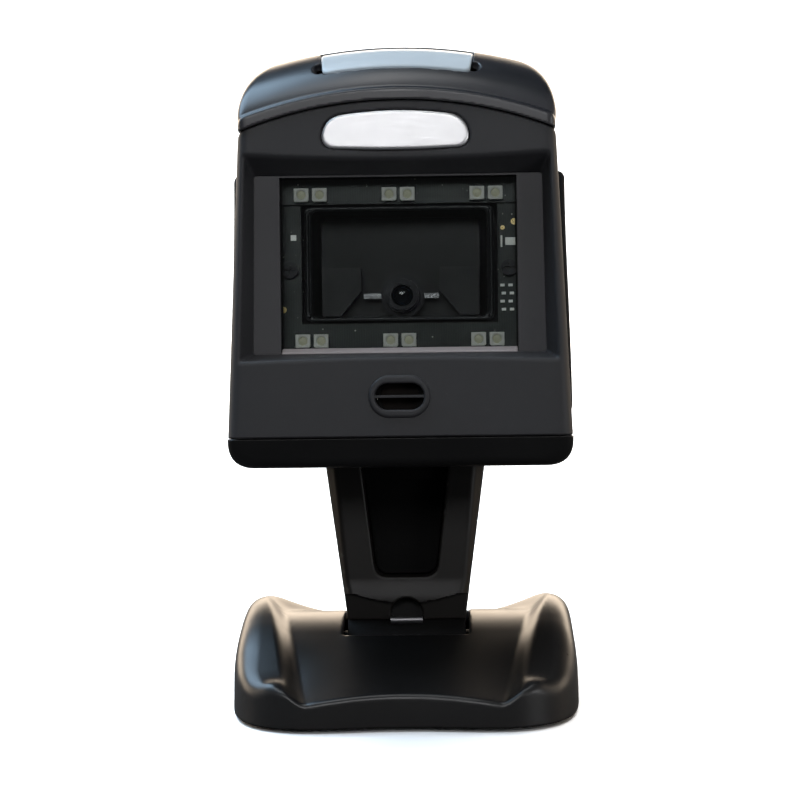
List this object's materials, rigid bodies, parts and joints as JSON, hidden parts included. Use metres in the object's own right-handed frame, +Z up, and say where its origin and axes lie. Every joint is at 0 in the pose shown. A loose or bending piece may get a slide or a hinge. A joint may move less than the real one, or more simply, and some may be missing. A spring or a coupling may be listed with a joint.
{
  "type": "presentation barcode scanner",
  "caption": "Upright hands-free barcode scanner: a windowed imager head with a pressable light-bar button, on a tapered column that tilts in a weighted saddle foot.",
  "frame": {"origin": "centre of the foot's footprint, on the counter under the rubber feet", "axes": "+Z up; -Y is the scanning face's side; +X to the right as seen from the front"},
  "size_m": [0.0834, 0.085, 0.1582],
  "materials": {
    "foot_plastic": "satin black moulded shell",
    "plate_plastic": "fine matte",
    "ballast_steel": "bare steel plate",
    "foot_rubber": "matte",
    "screw_steel": "zinc",
    "insert_brass": "knurled brass",
    "bracket_steel": "folded sheet",
    "axle_steel": "ground",
    "clip_steel": "oiled spring steel",
    "washer_nylon": "black nylon",
    "drum_plastic": "semi-gloss",
    "column_plastic": "satin",
    "cover_plastic": "satin",
    "bezel_plastic": "fine mould texture",
    "housing_plastic": "fine mould texture",
    "grip_rubber": "soft touch",
    "cap_plastic": "satin",
    "badge_silver": "satin, blank",
    "beeper_black": "matte",
    "beeper_brass": "thin disc",
    "shroud_plastic": "fine matte",
    "window_clear": "clear",
    "gasket_rubber": "foam",
    "pcb": "solder mask",
    "led_white": "white package",
    "smd_parts": "solder and ceramic",
    "gold_pads": "gold flash",
    "black_screws": "black oxide",
    "standoff_plastic": "nylon",
    "baffle_plastic": "matte",
    "lens_black": "anodised",
    "lens_glass": "coated",
    "lens_steel": "spring clip",
    "chip_black": "epoxy",
    "sensor_grey": "sensor window",
    "link_cream": "connector",
    "spring_steel": "spring wire",
    "button_translucent": "frosted translucent",
    "plunger_red": "moulded"
  },
  "bodies": {
    "foot": {"base_shell": "foot_plastic", "base_plate": "plate_plastic", "ballast_plate": "ballast_steel", "rubber_feet": "foot_rubber", "base_screws": "screw_steel", "counter_inserts": "insert_brass", "pivot_bracket": "bracket_steel", "bracket_screws": "screw_steel", "tilt_axle": "axle_steel", "axle_clips": "clip_steel", "friction_washers": "washer_nylon"},
    "head": {"column_screws": "screw_steel", "neck_screws": "screw_steel", "housing_screws": "screw_steel", "cross_pin": "axle_steel", "foot_drum": "drum_plastic", "column_shell": "column_plastic", "neck_tongue": "column_plastic", "column_cover": "cover_plastic", "front_bezel": "bezel_plastic", "beeper_grille": "bezel_plastic", "rear_housing": "housing_plastic", "rear_panel": "housing_plastic", "side_grips": "grip_rubber", "top_cap": "cap_plastic", "badge": "badge_silver", "beeper_can": "beeper_black", "button_switch": "beeper_black", "beeper_disc": "beeper_brass", "window_shroud": "shroud_plastic", "window_glass": "window_clear", "window_gasket": "gasket_rubber", "led_board_upper": "pcb", "led_board_lower": "pcb", "carrier_board": "pcb", "imager_board": "pcb", "decoder_board": "pcb", "button_board": "pcb", "leds_upper": "led_white", "leds_lower": "led_white", "button_leds": "led_white", "carrier_parts": "smd_parts", "carrier_pads": "gold_pads", "jack_contacts": "gold_pads", "carrier_screws": "black_screws", "board_standoffs": "standoff_plastic", "imager_baffle": "baffle_plastic", "imager_chassis": "baffle_plastic", "lens_barrel": "lens_black", "lens_element": "lens_glass", "lens_clip": "lens_steel", "decoder_chips": "chip_black", "interface_jack": "chip_black", "image_sensor": "sensor_grey", "board_link": "link_cream", "button_springs": "spring_steel"},
    "button": {"top_button": "button_translucent", "switch_plunger": "plunger_red"}
  },
  "joints": [
    {"name": "stand_tilt", "type": "hinge", "parent": "foot", "child": "head", "pos_m": [0, 0.001, 0.01], "axis": [1, 0, 0], "range_deg": [-15, 20]},
    {"name": "button_press", "type": "slide", "parent": "head", "child": "button", "axis": [0, -0.1219, -0.9925], "range_m": [0, 0.001], "stiffness_N_per_m": 800, "springref_m": -0.001, "deforming": ["button_springs"]}
  ]
}
